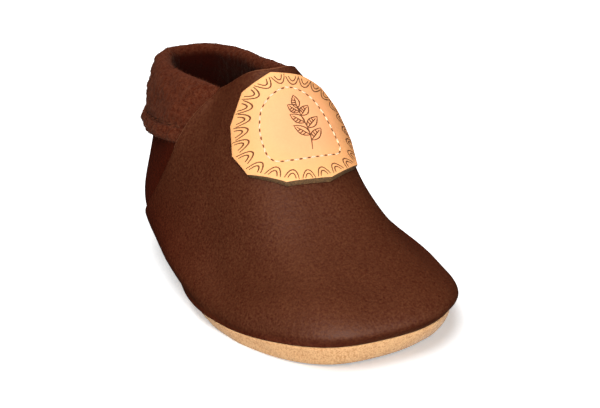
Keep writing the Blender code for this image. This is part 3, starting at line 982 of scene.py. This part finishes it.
def vamp_spots(flat):
    """Turns and levels of the vamp's points that lie so far across and along the instep."""
    middle, across, along = patch_axes()
    axes = np.stack((across, along), axis=1)
    turns, levels = np.full(len(flat), PATCH_TURN), np.full(len(flat), PATCH_LEVEL)
    step = 0.001
    for _ in range(10):
        points = last_points(turns, levels)
        by_turn = (last_points(turns + step, levels) - points) @ axes / step
        by_level = (last_points(turns, levels + step) - points) @ axes / step
        miss = flat - (points - middle) @ axes
        area = by_turn[:, 0] * by_level[:, 1] - by_turn[:, 1] * by_level[:, 0]
        turn_by = (miss[:, 0] * by_level[:, 1] - miss[:, 1] * by_level[:, 0]) / area
        level_by = (by_turn[:, 0] * miss[:, 1] - by_turn[:, 1] * miss[:, 0]) / area
        turns = turns + np.clip(turn_by, -0.3, 0.3)
        levels = np.minimum(levels + np.clip(level_by, -0.15, 0.15), 1.0)
    return turns, levels


def on_patch(flat, rise):
    """Points over the patch's flat coordinates, at a rise above the vamp's face."""
    turns, levels = vamp_spots(np.asarray(flat, dtype=float))
    return off_last(turns, levels, sizes().vamp_face + np.broadcast_to(rise, len(flat)))


def lift_at(flat):
    """How far the patch's toe side stands off the vamp."""
    return sizes().patch_lift * ease((-flat[:, 1] - LIFT_FROM) / LIFT_OVER)


def on_face(flat, over=0.0):
    """Points on the patch's upper face, or a little over it."""
    return on_patch(flat, sizes().gap + sizes().patch + lift_at(flat) + over)


def make_patch():
    """The stiff leather patch with its faceted outline, burnt design and stitches."""
    size = sizes()
    angles = np.radians(PATCH_CORNERS[:, 0])
    corners = np.stack((np.cos(angles), np.sin(angles)), axis=1) * PATCH_CORNERS[:, 1:] * MM
    steps = np.linspace(0, 1, 14, endpoint=False)[:, None]
    outline = np.concatenate([a + (b - a) * steps for a, b in zip(corners, np.roll(corners, -1, axis=0))])
    outline = np.concatenate((outline, outline[:1]))
    low = ease((-outline[:, 1] - SLANT_FROM) / SLANT_OVER)

    edge_share, edge_add, edge_part, edge_slant = PATCH_EDGE.T
    inner = np.linspace(0, 0.97, 22)
    shares = np.concatenate((inner, edge_share, inner[::-1]))
    rise = np.concatenate((np.zeros(len(inner)), edge_add * MM + edge_part * size.patch,
                           np.full(len(inner), size.patch))) + size.gap
    slant = np.concatenate((inner, edge_slant, np.zeros(len(inner))))
    cut_from, cut_to = (len(inner) + row for row in CUT_ROWS)

    def place(i, j):
        flat = outline[i] * shares[j][:, None]
        lift = lift_at(flat)
        flat[:, 1] -= size.patch_slant * low[i] * slant[j]
        return on_patch(flat, rise[j] + lift)

    def paint(across, along):
        return 1 if cut_from < along < cut_to else 0

    plate = loft("tan_patch", len(outline) - 1, len(shares) - 1, place, paint)
    finish_piece(plate, "patch", "patch_leather", patch_material(patch_axes()[0]), burnt_edge_material())
    plate.data.set_sharp_from_angle(angle=math.radians(50))
    make_patch_lines()
    make_patch_stitches()


def direction(angle):
    """A flat direction at an angle, and the one to its left."""
    way = np.array((math.cos(angle), math.sin(angle)))
    return way, np.array((-way[1], way[0]))


def leaf_lines(foot, angle, long, wide):
    """A pointed leaf in flat coordinates: both sides, its vein and hatching on one half."""
    f = np.linspace(0, 1, 13)
    way, across = direction(angle)
    bulge = np.sin(math.pi * f ** 0.85) * wide / 2
    spine = foot + np.outer(f * long, way)
    lines = [spine + np.outer(bulge, across), spine - np.outer(bulge, across), spine[:11]]
    for k in (4, 6, 8):
        end = spine[k] + across * bulge[k] * 0.92
        lines.append(np.linspace(spine[k - 1], end, 4))
    return lines


def patch_lines():
    """The burnt design in flat millimetres: a leafy sprig and a border of nested scallops."""
    f = np.linspace(0, 1, 24)
    stem = np.stack((1.5 + 0.7 * np.sin(f * 4.2), -8.6 + 13.0 * f), axis=1)
    lines = [stem]
    for k, turn, long in LEAVES:
        lines += leaf_lines(stem[k], math.radians(turn), long, LEAF_WIDE)
    lines += leaf_lines(stem[-1], math.atan2(0.999, -0.05), *TOP_LEAF)
    sweep = np.linspace(-1, 1, 13)
    for k in range(SCALLOPS):
        middle = 2 * math.pi * (k + 0.5) / SCALLOPS - math.pi
        reach = np.interp(middle, np.radians(PATCH_CORNERS[:, 0]), PATCH_CORNERS[:, 1], period=2 * math.pi)
        way, across = direction(middle)
        for wide, tall in ARCHES:
            inward = SCALLOP_MARGIN + tall * (1 - np.abs(sweep) ** 2.2)
            lines.append(np.outer(reach - inward, way) + np.outer(sweep * wide, across))
    return lines


def make_patch_lines():
    """Ribbons of scorched leather along the design, thinner at their ends."""
    half = sizes().burn / 2
    bm = bmesh.new()
    for line in patch_lines():
        line = np.asarray(line) * MM
        tangents = unit(np.gradient(line, axis=0))
        across = np.stack((-tangents[:, 1], tangents[:, 0]), axis=1)
        across *= half * np.sin(np.linspace(0.25, math.pi - 0.25, len(line)))[:, None] ** 0.35
        spots = [on_face(line + side * across, ON_FACE) for side in (1, -1)]
        strip = bmesh.ops.create_grid(bm, x_segments=len(line) - 1, y_segments=1, size=0.5)["verts"]
        for vert in strip:
            vert.co = spots[round(vert.co.y + 0.5)][round((vert.co.x + 0.5) * (len(line) - 1))]
    bmesh.ops.recalc_face_normals(bm, faces=bm.faces)
    up = Vector(np.cross(*patch_axes()[1:]))
    down = [face for face in bm.faces if face.normal.dot(up) < 0]
    bmesh.ops.reverse_faces(bm, faces=down)
    lines = piece_from(bm, "burnt_lines")
    finish_piece(lines, "patch", "patch_leather", burnt_line_material())


def make_patch_stitches():
    """The oval of cream running stitches that holds the patch, with a dark disc of painted shade for the
    hole between each two.
    """
    size = sizes()
    line = closed_curve(np.array(STITCH_LINE) * MM, 24)
    run = np.concatenate(((0,), np.cumsum(np.linalg.norm(np.diff(line, axis=0), axis=1))))
    count = round(run[-1] / size.stitch_pitch)

    def flat_at(way):
        return np.stack([np.interp(way % run[-1], run, line[:, k]) for k in (0, 1)], axis=1)

    def row_at(shift):
        way = (np.arange(count) + shift) * run[-1] / count
        flat = flat_at(way)
        points = on_face(flat)
        return points, unit(on_face(flat_at(way + 0.2 * MM)) - points), last_normals(*vamp_spots(flat))

    points, tangents, normals = row_at(0.0)
    row = stitch_row("cream_stitches", points + normals * STITCH_RISE, tangents, normals,
                     size.stitch, size.thread)
    finish_piece(row, "patch", "patch_leather", thread_material("cream_thread", "thread"))
    # Painted shade: a dark disc in the scorched-line colour marks each stitch hole
    bm = bmesh.new()
    for spot, tangent, normal in zip(*row_at(0.5)):
        place = turned(spot + normal * ON_FACE, tangent, np.cross(normal, tangent), normal)
        bmesh.ops.create_circle(bm, cap_ends=True, segments=12, radius=HOLE,
                                matrix=place @ Matrix.Diagonal((HOLE_STRETCH, 1.0, 1.0, 1.0)))
    holes = piece_from(bm, "stitch_holes")
    finish_piece(holes, "patch", "patch_leather", bpy.data.materials["scorched_line"])


def hang_lamp(name, at, aim, width, watts, colour, lit, gleam):
    """A soft round lamp that lights the objects of one collection, with or without a gleam on them."""
    data = bpy.data.lights.new(name, "AREA")
    data.shape = "DISK"
    data.size = width
    data.energy = watts
    data.color = colour
    lamp = show(bpy.data.objects.new(name, data))
    lamp.location = at
    lamp.visible_camera = False
    lamp.visible_glossy = gleam
    lamp.rotation_euler = (Vector(aim) - Vector(at)).to_track_quat("-Z", "Y").to_euler()
    lamp.light_linking.receiver_collection = lit


def make_stage(scene):
    """White floor, soft studio light and the camera at the photographed angle."""
    lit = {name: bpy.data.collections.new(name + "_lit") for name in ("shoe", "sole", "floor")}
    for piece in scene.collection.objects:
        lit["shoe"].objects.link(piece)
    lit["sole"].objects.link(scene.objects["suede_sole"])
    bm = bmesh.new()
    bmesh.ops.create_grid(bm, x_segments=1, y_segments=1, size=FLOOR_HALF)
    floor = piece_from(bm, "studio_floor")
    floor.data.materials.append(floor_material())
    floor.visible_diffuse = floor.visible_glossy = False
    lit["floor"].objects.link(floor)

    scene.world = bpy.data.worlds.new("studio")
    scene.world.use_nodes = True
    tree = scene.world.node_tree
    wire(tree, tree.nodes["Background"], Color=(*WARM, 1.0), Strength=ROOM_LIGHT)
    for name, (at, aim, width, watts, colour, target, gleam) in LAMPS.items():
        hang_lamp(name, at, aim, width, watts, colour, lit[target], gleam)
    scene.view_settings.view_transform = "Standard"

    data = bpy.data.cameras.new("camera")
    data.sensor_width = CAMERA_SENSOR
    data.lens = CAMERA_LENS
    camera = show(bpy.data.objects.new("camera", data))
    aim = Vector(CAMERA_AIM).normalized()
    right = Vector(CAMERA_RIGHT)
    right = (right - aim * right.dot(aim)).normalized()
    camera.matrix_world = turned(CAMERA_AT, right, right.cross(aim), -aim)
    scene.camera = camera


class SHOE_OT_outsole(bpy.types.Operator):
    """Make the suede sole"""
    bl_idname = "shoe.outsole"
    bl_label = "Suede sole"

    def execute(self, context):
        make_outsole()
        return {"FINISHED"}


class SHOE_OT_insole(bpy.types.Operator):
    """Make the felt pad"""
    bl_idname = "shoe.insole"
    bl_label = "Felt pad"

    def execute(self, context):
        make_insole()
        return {"FINISHED"}


class SHOE_OT_upper(bpy.types.Operator):
    """Make the leather upper"""
    bl_idname = "shoe.upper"
    bl_label = "Leather upper"

    def execute(self, context):
        make_upper()
        return {"FINISHED"}


class SHOE_OT_cuff(bpy.types.Operator):
    """Make the fleece cuff with its nap and hem stitches"""
    bl_idname = "shoe.cuff"
    bl_label = "Fleece cuff"

    def execute(self, context):
        make_cuff()
        return {"FINISHED"}


class SHOE_OT_patch(bpy.types.Operator):
    """Make the leather patch with its burnt design and stitches"""
    bl_idname = "shoe.patch"
    bl_label = "Leather patch"

    def execute(self, context):
        make_patch()
        return {"FINISHED"}


class SHOE_OT_stage(bpy.types.Operator):
    """Set up the floor, lights and camera"""
    bl_idname = "shoe.stage"
    bl_label = "Stage"

    def execute(self, context):
        make_stage(context.scene)
        return {"FINISHED"}


STEPS = (SHOE_OT_outsole, SHOE_OT_insole, SHOE_OT_upper, SHOE_OT_cuff, SHOE_OT_patch, SHOE_OT_stage)


class SHOE_PT_panel(bpy.types.Panel):
    """Buttons and values of the shoe"""
    bl_idname = "SHOE_PT_panel"
    bl_label = "Baby shoe"
    bl_space_type = "VIEW_3D"
    bl_region_type = "UI"
    bl_category = "Baby shoe"

    def draw(self, context):
        for step in STEPS:
            self.layout.operator(step.bl_idname)
        for group in (context.scene.shoe_sizes, context.scene.shoe_colours):
            for name in group.__annotations__:
                self.layout.prop(group, name)


CLASSES = (ShoeSizes, ShoeColours, *STEPS, SHOE_PT_panel)


def register():
    for cls in CLASSES:
        bpy.utils.register_class(cls)
    bpy.types.Scene.shoe_sizes = PointerProperty(type=ShoeSizes)
    bpy.types.Scene.shoe_colours = PointerProperty(type=ShoeColours)


def unregister():
    del bpy.types.Scene.shoe_colours
    del bpy.types.Scene.shoe_sizes
    for cls in reversed(CLASSES):
        bpy.utils.unregister_class(cls)


def main():
    register()
    bpy.ops.shoe.outsole()
    bpy.ops.shoe.insole()
    bpy.ops.shoe.upper()
    bpy.ops.shoe.cuff()
    bpy.ops.shoe.patch()
    bpy.ops.shoe.stage()


if __name__ == "__main__":
    main()
